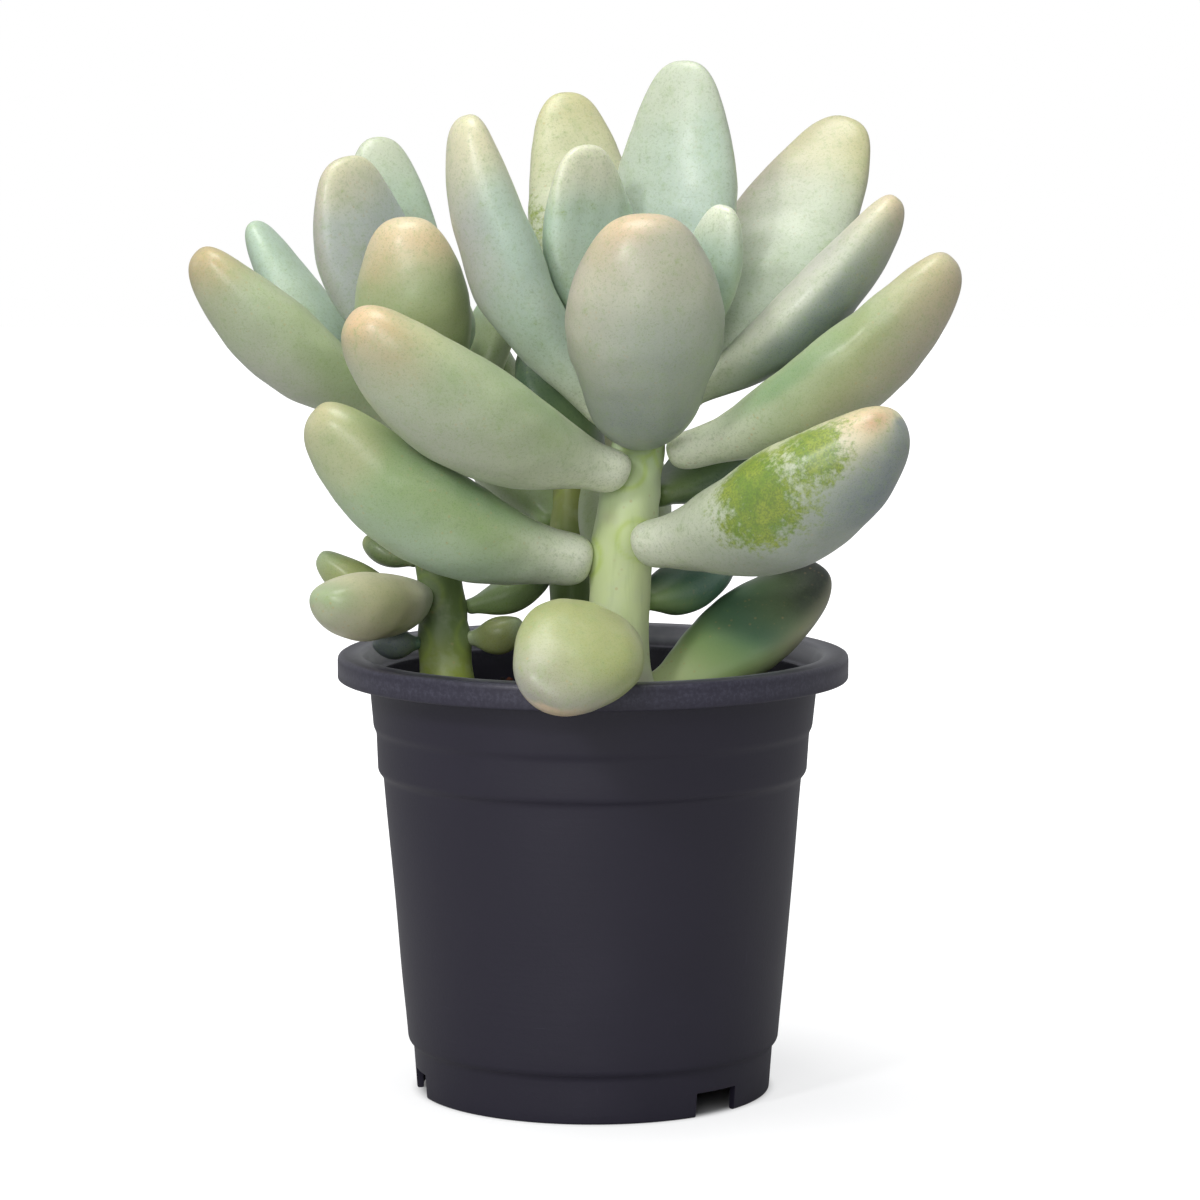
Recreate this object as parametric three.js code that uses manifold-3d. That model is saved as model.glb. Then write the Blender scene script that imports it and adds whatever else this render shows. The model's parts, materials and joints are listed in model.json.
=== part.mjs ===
// Potted succulent: three leafy stems rooted in potting mix, in a stepped plastic nursery pot.
// Millimetres, +Z up, -Y is the front. The origin is the middle of the footprint of the whole
// plant and pot, on the surface that the pot stands on.

import * as THREE from "three";
import { mergeVertices } from "three/addons/utils/BufferGeometryUtils.js";
import Module from "manifold-3d";

const wasm = await Module();
wasm.setup();

// ---------------------------------------------------------------- driving dimensions

// Pot. The rim is its widest. Going down from the rim, each band stands in from the one above by
// its step and narrows by its taper. Depths are below the top of the rim.
const POT_HEIGHT = 91;
const RIM_RADIUS = 52.6;
const RIM_OVERHANG = 6.4;
const RIM_HEIGHT = 5.2;
const RIM_EDGE = 0.9;
const THROAT_DEPTH = 5.5;
const THROAT_FLARE = 2.6;
const UPPER_COLLAR_DEPTH = 15;
const UPPER_COLLAR_TAPER = 0.9;
const UPPER_COLLAR_STEP = 0.6;
const LOWER_COLLAR_DEPTH = 24.2;
const LOWER_COLLAR_TAPER = 0.4;
const LOWER_COLLAR_STEP = 1.1;
const BODY_TAPER = 4.8;
const FOOT_BAND_HEIGHT = 10.6;
const FOOT_BAND_STEP = 1.1;
const FOOT_BAND_TAPER = 0.7;
const STEP_SLOPE = 1.2;
const WALL = 1.4;
const POT_SIDES = 60;

// Pot floor, with drain holes, standing on a foot ring with drain slots. The drain holes' middles
// stand in from the foot's inner wall by their inset.
const FLOOR_HEIGHT = 5.6;
const FLOOR_THICKNESS = 1.5;
const DRAIN_HOLES = 6;
const DRAIN_HOLE_RADIUS = 3.4;
const DRAIN_HOLE_INSET = 11.2;
const SLOTS = 3;
const SLOT_WIDTH = 10.8;
const SLOT_HEIGHT = 5;
const FIRST_SLOT_AZIMUTH = -47;

// Potting mix: its level below the rim, and how much higher it is heaped in the middle.
const SOIL_DEPTH_BELOW_RIM = 12;
const SOIL_MOUND = 2.5;
const SOIL_SIDES = 36;

// Gap left between pieces that touch.
const CLEARANCE = 0.35;

// Stems. Each is rooted in from the pot's wall by its inset, at the azimuth of that wall (0 is
// right, 90 back, -90 front), and to one side of that line by aside. Its middle bows and its tip
// leans across the pot by the stated amounts, and its height is above the soil.
const STEM_BURIED = 16;
const STEM_SIDES = 12;
const STEM_RINGS = 13;
const STEM_TAPER_LENGTH = 16;
const STEM_TIP_RADIUS_SHARE = 0.55;
const STEM_FLARE = 0.15;
const STEM_FLARE_HEIGHT = 14;

const STEMS = {
  main: { wall: -90, inset: 18.2, aside: 5.5, bow: [-2, 1], lean: [6.5, 8], height: 70, radius: 6.1 },
  left: { wall: 180, inset: 13.7, aside: 0, bow: [-3.5, 3], lean: [-2.5, 8], height: 68, radius: 4.6 },
  back: { wall: 90, inset: 23.2, aside: 4, bow: [0, 0], lean: [-1, 4], height: 50, radius: 5 },
};

// Leaves. height is where a leaf joins its stem, above the soil. azimuth is the way it heads
// (0 is right, 90 back, -90 front), and side is where on the stem it sits when that is different.
// rise is how steeply its tip stands above its foot, curl how much less steeply it sets off,
// and roll turns the blade about its own length. size is length, width and thickness, and foot
// and widest shape the outline where a leaf differs from the rest. Angles are in degrees.
const LEAF_SIDES = 10;
const LEAF_RINGS = 9;
const LEAF_BELLY = 0.2;
const LEAF_WIDEST = 0.62;
const LEAF_ELBOW = 0.42;
const LEAF_FOOT = 0.5;
const LEAF_BLUNTNESS = 0.8;

const LEAVES = {
  main: {
    front_drooping: {
      height: 17, azimuth: -107, rise: -7, curl: -40, roll: -26,
      foot: 0.3, widest: 0.75, size: [45, 27, 17], skin: "sage",
    },
    foot_right: {
      height: 6, azimuth: 33, rise: 28, curl: 14, roll: 30,
      size: [49, 20, 14], skin: "sage",
    },
    low_right_shaded: { height: 25, azimuth: 54, rise: 12, curl: 15, size: [31, 16, 10], skin: "teal" },
    lower_left: {
      height: 34, azimuth: -170, rise: 29, curl: 22,
      foot: 0.6, size: [63, 24, 22], skin: "sage",
    },
    lower_right: {
      height: 38, azimuth: -30, side: -68, rise: 25, curl: 20,
      size: [63, 28, 24], skin: "cream",
    },
    back_right_shaded: {
      height: 46, azimuth: 45, rise: 22, curl: 12,
      size: [36, 20, 13], skin: "shade",
    },
    back_left_shaded: {
      height: 48, azimuth: 140, rise: 54, curl: 12,
      size: [34, 18, 12], skin: "shade",
    },
    upper_left: {
      height: 52, azimuth: -156, side: -105, rise: 29, curl: 17,
      size: [66, 27, 23], skin: "cream",
    },
    upper_right: { height: 55, azimuth: -13, rise: 35, curl: 22, size: [69, 24, 19], skin: "sage" },
    front_egg: { height: 58, azimuth: -88, rise: 67, curl: 22, size: [49, 32, 20], skin: "lilac" },
    left_long: { height: 61, azimuth: -171, rise: 64, curl: 20, size: [68, 22, 16], skin: "mint" },
    right_slim: { height: 65, azimuth: 0, rise: 42, curl: 18, size: [61, 20, 14], skin: "lilac" },
    right_broad: {
      height: 63, azimuth: 39, rise: 49, curl: 14, roll: 26,
      size: [77, 29, 14], skin: "cream",
    },
    back_left_tall: { height: 61, azimuth: 109, rise: 57, curl: 16, size: [78, 25, 14], skin: "sage" },
    back_tall: {
      height: 65, azimuth: 62, side: 92, rise: 76, curl: 10,
      foot: 0.4, size: [70, 27, 14], skin: "mint",
    },
    inner_left: {
      height: 69, azimuth: 178, side: -165, rise: 78, curl: 22, roll: -50,
      foot: 0.4, size: [48, 22, 10], skin: "mint",
    },
    inner_right: {
      height: 70, azimuth: -22, rise: 71, curl: 16, roll: 70,
      foot: 0.4, size: [36, 13, 8], skin: "mint",
    },
    back: { height: 27, azimuth: 88, rise: 38, curl: 20, size: [48, 20, 15], skin: "shade" },
  },
  left: {
    far: { height: 59, azimuth: -163, rise: 38, curl: 14, size: [58, 22, 17], skin: "cream" },
    far_back: {
      height: 52, azimuth: 153, side: 138, rise: 50, curl: 8,
      foot: 0.4, size: [62, 14, 9], skin: "mint",
    },
    upright: {
      height: 66, azimuth: 172, rise: 71, curl: 20, roll: -42,
      foot: 0.4, size: [50, 25, 13], skin: "lilac",
    },
    upright_back: {
      height: 57, azimuth: 114, side: 96, rise: 62, curl: 14,
      size: [68, 22, 13], skin: "mint",
    },
    front: { height: 59, azimuth: -104, rise: 68, curl: 20, size: [46, 25, 17], skin: "sage" },
    right_back: { height: 60, azimuth: 30, rise: 68, curl: 12, size: [27, 14, 10], skin: "sage" },
    low_oval: { height: 24, azimuth: -132, rise: 2, curl: 4, size: [30, 18, 14], skin: "sage" },
    low_back: { height: 21, azimuth: 178, rise: 28, curl: 10, size: [23, 11, 9], skin: "olive" },
    low_right: { height: 21, azimuth: 15, rise: 21, curl: 10, size: [19, 10, 8], skin: "shade" },
    foot_right: { height: 15, azimuth: -10, rise: 14, curl: 10, size: [12, 9, 8], skin: "olive" },
    back: { height: 40, azimuth: 145, rise: 38, curl: 20, size: [31, 17, 13], skin: "sage" },
    low_up: { height: 30, azimuth: 155, rise: 20, curl: 8, size: [13, 9, 6], skin: "olive" },
    foot_left: { height: 14, azimuth: -168, rise: 6, curl: 5, size: [10, 10, 7], skin: "teal" },
    heart: { height: 68, azimuth: -45, rise: 78, curl: 6, size: [17, 9, 6], skin: "mint" },
  },
  back: {
    left: { height: 45, azimuth: 178, rise: 67, curl: 10, size: [33, 14, 10], skin: "shade" },
    far_left: { height: 36, azimuth: 125, rise: 38, curl: 16, size: [40, 18, 13], skin: "shade" },
    far: { height: 42, azimuth: 78, rise: 48, curl: 18, size: [42, 18, 13], skin: "shade" },
    right: { height: 46, azimuth: 30, rise: 58, curl: 14, size: [38, 16, 11], skin: "shade" },
    heart: { height: 50, azimuth: -70, rise: 78, curl: 6, size: [18, 9, 6], skin: "shade" },
  },
};

// ---------------------------------------------------------------- materials

const POT_PLASTIC = { color: 0x2c2b33, roughness: 0.5 };
const SOIL_GRAINS = { color: 0x1d1713, roughness: 0.95 };
const STEM_SKINS = {
  main: { color: 0xb9cc93, roughness: 0.6 },
  left: { color: 0x7f9a5c, roughness: 0.6 },
  back: { color: 0x6d8452, roughness: 0.6 },
};
const LEAF_ROUGHNESS = 0.55;
const LEAF_SKINS = {
  mint: 0xb3c9bb,
  cream: 0xc9ccb4,
  lilac: 0xb5b7bb,
  sage: 0xa9ba8b,
  olive: 0x8d9a5f,
  teal: 0x5b8474,
  shade: 0x4d6b46,
};

// A piece of one material. Nothing here is metal.
const piece = (geometry, look) =>
  new THREE.Mesh(geometry, new THREE.MeshStandardMaterial({ ...look, metalness: 0 }));

// ---------------------------------------------------------------- solids and cuts

const UP = new THREE.Vector3(0, 0, 1);
const radians = THREE.MathUtils.degToRad;
const smooth = (x) => THREE.MathUtils.smoothstep(x, 0, 1);

// A closed mesh's own triangles, with only positions and with shared corners merged.
function bare(geometry) {
  const positions = (geometry.index ? geometry.toNonIndexed() : geometry).getAttribute("position");
  return mergeVertices(new THREE.BufferGeometry().setAttribute("position", positions.clone()), 1e-3);
}

function toSolid(geometry) {
  const { index, attributes } = bare(geometry);
  return new wasm.Manifold(new wasm.Mesh({
    numProp: 3,
    vertProperties: new Float32Array(attributes.position.array),
    triVerts: new Uint32Array(index.array),
  }));
}

function toGeometry(solid) {
  const { vertProperties, triVerts } = solid.getMesh();
  return new THREE.BufferGeometry()
    .setAttribute("position", new THREE.BufferAttribute(new Float32Array(vertProperties), 3))
    .setIndex(new THREE.BufferAttribute(new Uint32Array(triVerts), 1));
}

// The shape with every corner moved out along its normal, for cutting a fit with a gap round it.
function swollen(geometry, by) {
  const grown = bare(geometry);
  grown.computeVertexNormals();
  const { position, normal } = grown.attributes;
  for (let i = 0; i < position.count; i++) {
    const corner = new THREE.Vector3().fromBufferAttribute(position, i);
    corner.addScaledVector(new THREE.Vector3().fromBufferAttribute(normal, i), by);
    position.setXYZ(i, ...corner);
  }
  return grown;
}

// A sphere drawn out along a line: place gives the point for a share of the way along (0 to 1),
// the sphere's own radius there (0 at both ends), and the direction round it.
function drawnOut(sides, rings, place) {
  const geometry = bare(new THREE.SphereGeometry(1, sides, rings));
  const { position } = geometry.attributes;
  for (let i = 0; i < position.count; i++) {
    const [x, y, z] = [position.getX(i), position.getY(i), position.getZ(i)];
    const point = place((1 - y) / 2, Math.hypot(x, z), Math.atan2(z, x));
    position.setXYZ(i, ...point);
  }
  return geometry;
}

// ---------------------------------------------------------------- pot and soil

const UPPER_COLLAR_BOTTOM = POT_HEIGHT - UPPER_COLLAR_DEPTH;
const LOWER_COLLAR_BOTTOM = POT_HEIGHT - LOWER_COLLAR_DEPTH;
const FLOOR_TOP = FLOOR_HEIGHT + FLOOR_THICKNESS;
const SOIL_LEVEL = POT_HEIGHT - SOIL_DEPTH_BELOW_RIM;

const NECK_RADIUS = RIM_RADIUS - RIM_OVERHANG;
const UPPER_COLLAR_RADIUS = NECK_RADIUS - UPPER_COLLAR_TAPER;
const LOWER_COLLAR_TOP_RADIUS = UPPER_COLLAR_RADIUS - UPPER_COLLAR_STEP;
const LOWER_COLLAR_RADIUS = LOWER_COLLAR_TOP_RADIUS - LOWER_COLLAR_TAPER;
const BODY_TOP_RADIUS = LOWER_COLLAR_RADIUS - LOWER_COLLAR_STEP;
const BODY_BOTTOM_RADIUS = BODY_TOP_RADIUS - BODY_TAPER;
const FOOT_BAND_RADIUS = BODY_BOTTOM_RADIUS - FOOT_BAND_STEP;
const FOOT_RADIUS = FOOT_BAND_RADIUS - FOOT_BAND_TAPER;

// The pot's wall from the foot up to the neck under the rim, as [outer radius, height].
const WALL_LINE = [
  [FOOT_RADIUS, 0],
  [FOOT_BAND_RADIUS, FOOT_BAND_HEIGHT - STEP_SLOPE],
  [BODY_BOTTOM_RADIUS, FOOT_BAND_HEIGHT],
  [BODY_TOP_RADIUS, LOWER_COLLAR_BOTTOM - STEP_SLOPE],
  [LOWER_COLLAR_RADIUS, LOWER_COLLAR_BOTTOM],
  [LOWER_COLLAR_TOP_RADIUS, UPPER_COLLAR_BOTTOM - STEP_SLOPE],
  [UPPER_COLLAR_RADIUS, UPPER_COLLAR_BOTTOM],
  [NECK_RADIUS, POT_HEIGHT - THROAT_DEPTH],
];

const inside = ([radius, height]) => [radius - WALL, height];

// A closed or axis-to-axis profile of [radius, height] points, turned about the pot's axis.
const turned = (profile, sides) =>
  new THREE.LatheGeometry(profile.map((point) => new THREE.Vector2(...point)), sides).rotateX(Math.PI / 2);

// The inner wall's radius at a height, along the straight stretches of the wall.
function innerRadius(height) {
  const line = WALL_LINE.map(inside);
  const above = Math.max(1, line.findIndex(([, top]) => top >= height));
  const [[r0, z0], [r1, z1]] = [line[above - 1], line[above]];
  return THREE.MathUtils.lerp(r0, r1, (height - z0) / (z1 - z0));
}

// Under the rim the outside flares with the throat, so that the wall keeps its thickness there.
function makePot() {
  const rimBottom = POT_HEIGHT - RIM_HEIGHT;
  const underRim = POT_HEIGHT - WALL - RIM_EDGE;
  const flareUnderRim = THROAT_FLARE * (1 - (POT_HEIGHT - underRim) / THROAT_DEPTH);
  const aboveFloor = WALL_LINE.map(inside).filter(([, height]) => height > FLOOR_TOP);
  const profile = [
    [FOOT_RADIUS - WALL, 0],
    ...WALL_LINE,
    [NECK_RADIUS + flareUnderRim, underRim],
    [RIM_RADIUS - WALL, underRim],
    [RIM_RADIUS - WALL, rimBottom],
    [RIM_RADIUS, rimBottom],
    [RIM_RADIUS, POT_HEIGHT - RIM_EDGE],
    [RIM_RADIUS - RIM_EDGE, POT_HEIGHT],
    [NECK_RADIUS - WALL + THROAT_FLARE, POT_HEIGHT],
    ...aboveFloor.reverse(),
    [innerRadius(FLOOR_TOP), FLOOR_TOP],
    [0, FLOOR_TOP],
    [0, FLOOR_HEIGHT],
    [innerRadius(FLOOR_HEIGHT), FLOOR_HEIGHT],
    [FOOT_RADIUS - WALL, 0],
  ];
  let pot = toSolid(turned(profile, POT_SIDES));
  for (let i = 0; i < DRAIN_HOLES; i++) {
    const azimuth = radians((360 / DRAIN_HOLES) * i);
    const hole = new THREE.CylinderGeometry(DRAIN_HOLE_RADIUS, DRAIN_HOLE_RADIUS, 4 * FLOOR_THICKNESS, 12)
      .rotateX(Math.PI / 2)
      .translate(FOOT_RADIUS - WALL - DRAIN_HOLE_INSET, 0, FLOOR_HEIGHT)
      .rotateZ(azimuth);
    pot = pot.subtract(toSolid(hole));
  }
  for (let i = 0; i < SLOTS; i++) {
    const slot = new THREE.BoxGeometry(8 * WALL, SLOT_WIDTH, 2 * SLOT_HEIGHT)
      .translate(FOOT_RADIUS, 0, 0)
      .rotateZ(radians(FIRST_SLOT_AZIMUTH + (360 / SLOTS) * i));
    pot = pot.subtract(toSolid(slot));
  }
  return piece(toGeometry(pot), POT_PLASTIC);
}

function makeSoil(stemMeshes) {
  const bottom = FLOOR_TOP + CLEARANCE;
  const corners = WALL_LINE.map(([, height]) => height).filter((z) => z > bottom && z < SOIL_LEVEL);
  const side = [bottom, ...corners, SOIL_LEVEL].map((z) => [innerRadius(z) - CLEARANCE, z]);
  const edge = innerRadius(SOIL_LEVEL) - CLEARANCE;
  const top = [0.75, 0.4].map((share) => [edge * share, SOIL_LEVEL + SOIL_MOUND * (1 - share * share)]);
  let soil = toSolid(turned([[0, bottom], ...side, ...top, [0, SOIL_LEVEL + SOIL_MOUND]], SOIL_SIDES));
  for (const stem of stemMeshes) {
    soil = soil.subtract(toSolid(swollen(stem.geometry, CLEARANCE)));
  }
  return piece(toGeometry(soil), SOIL_GRAINS);
}

// ---------------------------------------------------------------- stems

// A stem's centre line runs from the soil to its tip, at an even rate of height.
function stemLine({ wall, inset, aside, bow, lean, height }) {
  const root = new THREE.Vector3(BODY_TOP_RADIUS - inset, aside, SOIL_LEVEL);
  root.applyAxisAngle(UP, radians(wall));
  const bend = new THREE.Vector3(...bow, height / 2).add(root);
  const tip = new THREE.Vector3(...lean, height).add(root);
  return new THREE.QuadraticBezierCurve3(root, bend, tip);
}

// Where a stem's middle is, at a height above the soil. Below the soil it goes straight on down.
function stemMiddle(stem, height) {
  const line = stemLine(stem);
  if (height >= 0) return line.getPoint(height / stem.height);
  return line.getPoint(0).addScaledVector(UP, height);
}

function stemRadius({ height, radius }, at) {
  const toTip = smooth((height - at) / STEM_TAPER_LENGTH);
  const flare = STEM_FLARE * (1 - smooth(at / STEM_FLARE_HEIGHT));
  return radius * (1 + flare) * THREE.MathUtils.lerp(STEM_TIP_RADIUS_SHARE, 1, toTip);
}

function makeStem(stem, look) {
  const geometry = drawnOut(STEM_SIDES, STEM_RINGS, (along, ring, round) => {
    const height = THREE.MathUtils.lerp(-STEM_BURIED, stem.height, along);
    const radius = stemRadius(stem, height) * Math.pow(ring, 0.35);
    return stemMiddle(stem, height).add(
      new THREE.Vector3(Math.cos(round) * radius, Math.sin(round) * radius, 0),
    );
  });
  return piece(geometry, look);
}

// ---------------------------------------------------------------- leaves

// Half the leaf's breadth as a share of its greatest, from a narrow foot to a round tip.
function leafOutline(along, ring, { foot = LEAF_FOOT, widest = LEAF_WIDEST, bluntness = LEAF_BLUNTNESS }) {
  return Math.pow(ring, bluntness) * THREE.MathUtils.lerp(foot, 1, smooth(along / widest));
}

// A leaf in its own frame: its foot at the origin, its tip out along +X, and its midrib sagging
// below the line between them. The upper face is flatter than the lower one.
function leafGeometry(leaf) {
  const [length, width, thickness] = leaf.size;
  const reach = length * LEAF_ELBOW;
  const elbow = new THREE.Vector3(reach, 0, -reach * Math.tan(radians(leaf.curl)));
  const tip = new THREE.Vector3(length, 0, 0);
  const midrib = new THREE.QuadraticBezierCurve3(new THREE.Vector3(), elbow, tip);
  const across = new THREE.Vector3(0, 1, 0);
  return drawnOut(LEAF_SIDES, LEAF_RINGS, (along, ring, round) => {
    const share = leafOutline(along, ring, leaf);
    const sideways = (width / 2) * share * Math.cos(round);
    const upwards = (thickness / 2) * share * (Math.sin(round) - LEAF_BELLY * Math.sin(round) ** 2);
    const upper = new THREE.Vector3().crossVectors(midrib.getTangent(along), across);
    return midrib.getPoint(along).addScaledVector(across, sideways).addScaledVector(upper, upwards);
  });
}

function makeLeaf(stem, leaf) {
  const mesh = piece(leafGeometry(leaf), { color: LEAF_SKINS[leaf.skin], roughness: LEAF_ROUGHNESS });
  const side = radians(leaf.side ?? leaf.azimuth);
  const reach = stemRadius(stem, leaf.height) + CLEARANCE;
  mesh.position.set(Math.cos(side) * reach, Math.sin(side) * reach, 0);
  mesh.position.add(stemMiddle(stem, leaf.height));
  mesh.rotation.set(radians(leaf.roll ?? 0), -radians(leaf.rise), radians(leaf.azimuth), "ZYX");
  return mesh;
}

// ---------------------------------------------------------------- assembly

// Gives way where a piece would press into one that is already there: the earlier piece, with the
// clearance round it, is taken out of the later one. A piece that is clear keeps its own shape.
function giveWay(mesh, earlier) {
  mesh.updateMatrixWorld();
  const ownBox = new THREE.Box3().setFromObject(mesh);
  let solid = toSolid(mesh.geometry.clone().applyMatrix4(mesh.matrixWorld));
  let dented = false;
  for (const other of earlier) {
    if (!ownBox.intersectsBox(new THREE.Box3().setFromObject(other))) continue;
    const shape = other.geometry.clone().applyMatrix4(other.matrixWorld);
    if (solid.intersect(toSolid(shape)).volume() < 1e-3) continue;
    solid = solid.subtract(toSolid(swollen(shape, CLEARANCE)));
    dented = true;
  }
  if (!dented) return;
  const largest = solid.decompose().reduce((a, b) => (a.volume() > b.volume() ? a : b));
  mesh.geometry = toGeometry(largest).applyMatrix4(mesh.matrixWorld.clone().invert());
}

const named = (name, mesh) => Object.assign(mesh, { name });

const pot = named("pot", makePot());
const stems = Object.entries(STEMS).map(([name, stem]) =>
  named(`stem_${name}`, makeStem(stem, STEM_SKINS[name])),
);
const soil = named("soil", makeSoil(stems));
const pieces = [pot, soil, ...stems];

for (const [stemName, leaves] of Object.entries(LEAVES)) {
  for (const [leafName, leaf] of Object.entries(leaves)) {
    const mesh = named(`leaf_${stemName}_${leafName}`, makeLeaf(STEMS[stemName], leaf));
    giveWay(mesh, pieces);
    pieces.push(mesh);
  }
}

const plant = new THREE.Group();
plant.add(...pieces);
const footprint = new THREE.Box3().setFromObject(plant).getCenter(new THREE.Vector3());
plant.position.set(-footprint.x, -footprint.y, 0);

const pottedSucculent = new THREE.Group();
pottedSucculent.add(plant);

export default pottedSucculent;
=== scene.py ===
# %% [markdown]
# # A potted succulent
# Three stems of plump, waxy leaves stand in dark potting mix, in a black plastic nursery pot. The
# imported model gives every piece's place and size. This script reads those, draws each piece again
# as a finer surface, and gives it the finish of the real thing.

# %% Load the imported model
import json
import math
import bpy
import numpy as np
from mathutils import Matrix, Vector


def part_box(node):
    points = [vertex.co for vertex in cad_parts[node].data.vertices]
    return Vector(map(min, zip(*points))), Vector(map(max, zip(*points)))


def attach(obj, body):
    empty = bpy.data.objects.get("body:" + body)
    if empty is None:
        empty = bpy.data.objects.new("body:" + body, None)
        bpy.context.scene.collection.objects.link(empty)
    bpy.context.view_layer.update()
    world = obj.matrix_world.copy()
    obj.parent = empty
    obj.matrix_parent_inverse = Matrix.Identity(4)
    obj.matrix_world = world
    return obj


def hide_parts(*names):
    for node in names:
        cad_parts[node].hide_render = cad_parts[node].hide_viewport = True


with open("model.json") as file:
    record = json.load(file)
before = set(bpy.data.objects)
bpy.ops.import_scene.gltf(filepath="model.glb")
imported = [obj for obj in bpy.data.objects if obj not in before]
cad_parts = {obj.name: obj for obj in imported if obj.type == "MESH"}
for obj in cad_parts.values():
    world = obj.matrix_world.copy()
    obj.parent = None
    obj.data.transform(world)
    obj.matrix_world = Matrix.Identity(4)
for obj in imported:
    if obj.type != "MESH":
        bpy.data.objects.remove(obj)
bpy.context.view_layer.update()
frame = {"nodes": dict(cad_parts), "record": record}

MM = 0.001


def added(name, data):
    """A new object in the scene."""
    made = bpy.data.objects.new(name, data)
    bpy.context.scene.collection.objects.link(made)
    return made


# %% [markdown]
# ## The camera
# A product picture like this is taken from a little above the rim with a long lens, so that the pot
# keeps its taper and its foot is seen as a shallow curve. The camera stands in front of the pot,
# a little to the right of its middle. It is placed from the pot's own box, so it follows the model.

# %% Place the camera
pot_low, pot_high = (np.array(corner, float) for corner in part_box("pot"))
pot_middle = (pot_low + pot_high) / 2
CAMERA_DISTANCE = 0.900
CAMERA_HEIGHT = 0.205
CAMERA_DIP = 6.55
CAMERA_ASIDE = 0.00144
LENS, FILM_WIDTH, NEAREST_SEEN = 132, 36, 0.05

camera = added("camera", bpy.data.cameras.new("camera"))
camera.data.lens = LENS
camera.data.sensor_width = FILM_WIDTH
camera.data.clip_start = NEAREST_SEEN
camera.location = (pot_middle[0] + CAMERA_ASIDE, pot_middle[1] - CAMERA_DISTANCE, CAMERA_HEIGHT)
camera.rotation_euler = (math.radians(90 - CAMERA_DIP), 0, 0)
bpy.context.scene.camera = camera
print("camera at", [round(x, 4) for x in camera.location])

# %% [markdown]
# ## Reading a piece back
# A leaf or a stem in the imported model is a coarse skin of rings, drawn out from one pole to the
# other. Nothing about it needs to be typed in again: the rings can be walked from pole to pole
# along the mesh's own edges, and each ring says where the middle is and how wide the piece is there.

# %% Walk the rings of a piece
def merged(node):
    """A node's corners with doubles merged, and its triangles as rows of three corner numbers.
    Corners that agree to a hundredth of a millimetre are taken as one."""
    mesh = frame["nodes"][node].data
    places = np.empty(len(mesh.vertices) * 3)
    mesh.vertices.foreach_get("co", places)
    places = places.reshape(-1, 3)
    keys = np.round(places * 1e5).astype(np.int64)
    _, first, back = np.unique(keys, axis=0, return_index=True, return_inverse=True)
    mesh.calc_loop_triangles()
    corners = np.empty(len(mesh.loop_triangles) * 3, np.int32)
    mesh.loop_triangles.foreach_get("vertices", corners)
    return places[first], back.reshape(-1)[corners].reshape(-1, 3)


def rings(node, sides, near):
    """The piece's rings from pole to pole, starting at the pole closest to the points in near.
    A pole is a corner that as many triangles share as the piece has sides. Each next ring is all
    that the last one touches and that hasn't been reached yet."""
    points, faces = merged(node)
    poles = np.flatnonzero(np.bincount(faces.ravel(), minlength=len(points)) == sides)
    gaps = np.linalg.norm(points[poles][:, None] - near[None], axis=2).min(axis=1)
    touching = np.zeros((len(points), len(points)), bool)
    for a, b in ((0, 1), (1, 2), (2, 0)):
        touching[faces[:, a], faces[:, b]] = touching[faces[:, b], faces[:, a]] = True
    edge = np.zeros(len(points), bool)
    edge[poles[np.argmin(gaps)]] = True
    reached, found = edge.copy(), []
    while edge.any():
        found.append(points[edge])
        edge = touching[edge].any(axis=0) & ~reached
        reached |= edge
    return found


STEM_NAMES = ("main", "left", "back")
STEM_SIDES = 12
LEAF_SIDES = 10
under_pot = np.array([[pot_middle[0], pot_middle[1], -1.0]])
stem_rings = {name: rings(f"stem_{name}", STEM_SIDES, under_pot) for name in STEM_NAMES}
stem_middles = {name: np.array([ring.mean(axis=0) for ring in found])
                for name, found in stem_rings.items()}
leaf_names = sorted(name for name in frame["nodes"] if name.startswith("leaf_"))
print("leaves", len(leaf_names), "rings on a stem", [len(found) for found in stem_rings.values()])

# %% [markdown]
# ## Turning a grid into a mesh
# Every new piece here is a grid of points worked out with numpy, which closes round in one
# direction and ends in a pole at both ends. One function makes such a grid a mesh. It turns the
# faces outwards by the sign of the volume they enclose, and carries along any value painted on the
# grid as an attribute that a material can read.

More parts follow.
